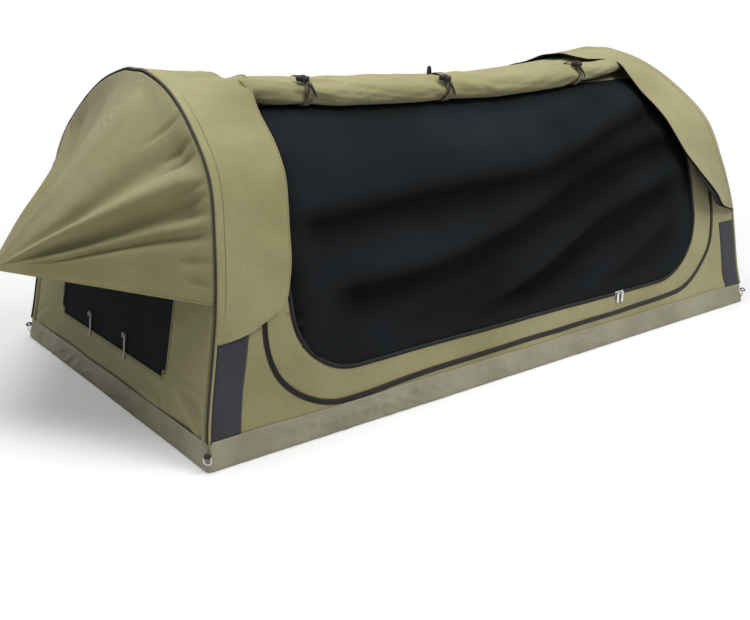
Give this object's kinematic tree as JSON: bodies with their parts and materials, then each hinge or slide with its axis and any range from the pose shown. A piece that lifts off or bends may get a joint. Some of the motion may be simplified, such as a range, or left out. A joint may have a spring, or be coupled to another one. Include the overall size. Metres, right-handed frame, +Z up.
{
  "type": "swag bedroll",
  "caption": "Dome swag bedroll standing open: olive canvas over leaning hoops, its door flap rolled up above a black mesh door, with an awning over the window at each end",
  "frame": {"origin": "middle of the base's underside, on the ground", "axes": "X along the bed towards the picture's right end, the door faces -Y, Z up"},
  "size_m": [2.6598, 1.2152, 0.8669],
  "materials": {
    "canvas": "matt polycotton canvas",
    "pvc": "semi-matt coated PVC cloth",
    "mesh": "fine insect mesh",
    "charcoal": "coarse coated cloth",
    "black_webbing": "woven webbing",
    "grey_webbing": "woven webbing",
    "zip_tape": "zip tape with coil",
    "zinc": "cast and plated",
    "alloy": "satin",
    "foam": "open foam",
    "cover": "soft knitted cloth",
    "black_plastic": "moulded"
  },
  "bodies": {
    "base": {"floor_tub": "pvc", "foam_mattress": "foam", "mattress_cover": "cover", "front_wall": "canvas", "back_wall": "canvas", "door_zip": "zip_tape", "flap_zip": "zip_tape", "rolled_flap": "canvas", "ridge_strap": "black_webbing", "roll_tie_1": "black_webbing", "roll_toggle_1": "black_plastic", "roll_tie_2": "black_webbing", "roll_toggle_2": "black_plastic", "roll_tie_3": "black_webbing", "roll_toggle_3": "black_plastic", "hood_left": "canvas", "piping_left": "black_webbing", "pole_pocket_left_front": "black_plastic", "corner_patch_left_front": "charcoal", "corner_loop_left_front": "black_webbing", "pole_pocket_left_back": "black_plastic", "corner_patch_left_back": "charcoal", "corner_loop_left_back": "black_webbing", "hood_right": "canvas", "piping_right": "black_webbing", "pole_pocket_right_front": "black_plastic", "corner_patch_right_front": "charcoal", "corner_loop_right_front": "black_webbing", "pole_pocket_right_back": "black_plastic", "corner_patch_right_back": "charcoal", "corner_loop_right_back": "black_webbing"},
    "hoop_left": {"pole_left_front": "alloy", "pole_left_back": "alloy", "ferrule_left": "alloy", "pole_sleeve_left": "canvas", "end_wall_left": "canvas", "window_mesh_left": "mesh", "window_tie_left_front": "grey_webbing", "window_tie_left_back": "grey_webbing", "awning_left": "canvas", "awning_tab_left": "grey_webbing"},
    "hoop_right": {"pole_right_front": "alloy", "pole_right_back": "alloy", "ferrule_right": "alloy", "pole_sleeve_right": "canvas", "end_wall_right": "canvas", "window_mesh_right": "mesh", "window_tie_right_front": "grey_webbing", "window_tie_right_back": "grey_webbing", "awning_right": "canvas", "awning_tab_right": "grey_webbing"},
    "door": {"door_mesh": "mesh"},
    "slider_left": {"zip_slider_left": "zinc"},
    "slider_right": {"zip_slider_right": "zinc"},
    "pull_left": {"zip_pull_left": "zinc"},
    "pull_right": {"zip_pull_right": "zinc"},
    "ring_left_front": {"corner_ring_left_front": "zinc"},
    "ring_left_back": {"corner_ring_left_back": "zinc"},
    "ring_right_front": {"corner_ring_right_front": "zinc"},
    "ring_right_back": {"corner_ring_right_back": "zinc"}
  },
  "joints": [
    {"name": "fold_left", "type": "hinge", "parent": "base", "child": "hoop_left", "pos_m": [-1.06224, 0, 0.0653], "axis": [0, 1, 0], "range_deg": [0, 72]},
    {"name": "fold_right", "type": "hinge", "parent": "base", "child": "hoop_right", "pos_m": [1.06224, 0, 0.0653], "axis": [0, -1, 0], "range_deg": [0, 72]},
    {"name": "door_swing", "type": "hinge", "parent": "base", "child": "door", "pos_m": [0, -0.21049, 0.7846], "axis": [1, 0, 0], "range_deg": [0, 90]},
    {"name": "zip_left", "type": "slide", "parent": "base", "child": "slider_left", "axis": [1, 0, 0], "range_m": [-0.98, 0]},
    {"name": "zip_right", "type": "slide", "parent": "base", "child": "slider_right", "axis": [1, 0, 0], "range_m": [0, 0.19]},
    {"name": "pull_swing_left", "type": "hinge", "parent": "slider_left", "child": "pull_left", "pos_m": [0.3845, -0.58293, 0.1544], "axis": [-1, 0, 0], "range_deg": [0, 150]},
    {"name": "pull_swing_right", "type": "hinge", "parent": "slider_right", "child": "pull_right", "pos_m": [0.4055, -0.58293, 0.1544], "axis": [-1, 0, 0], "range_deg": [0, 150]},
    {"name": "ring_swing_left_front", "type": "hinge", "parent": "base", "child": "ring_left_front", "pos_m": [-1.0734, -0.59652, 0.03941], "axis": [-0.7071, 0.7071, 0], "range_deg": [0, 150]},
    {"name": "ring_swing_left_back", "type": "hinge", "parent": "base", "child": "ring_left_back", "pos_m": [-1.0734, 0.59652, 0.03941], "axis": [0.7071, 0.7071, 0], "range_deg": [0, 150]},
    {"name": "ring_swing_right_front", "type": "hinge", "parent": "base", "child": "ring_right_front", "pos_m": [1.0734, -0.59652, 0.03941], "axis": [-0.7071, -0.7071, 0], "range_deg": [0, 150]},
    {"name": "ring_swing_right_back", "type": "hinge", "parent": "base", "child": "ring_right_back", "pos_m": [1.0734, 0.59652, 0.03941], "axis": [0.7071, -0.7071, 0], "range_deg": [0, 150]}
  ],
  "couplings": [
    {"joint": "fold_right", "follows": "fold_left", "ratio": 1}
  ]
}
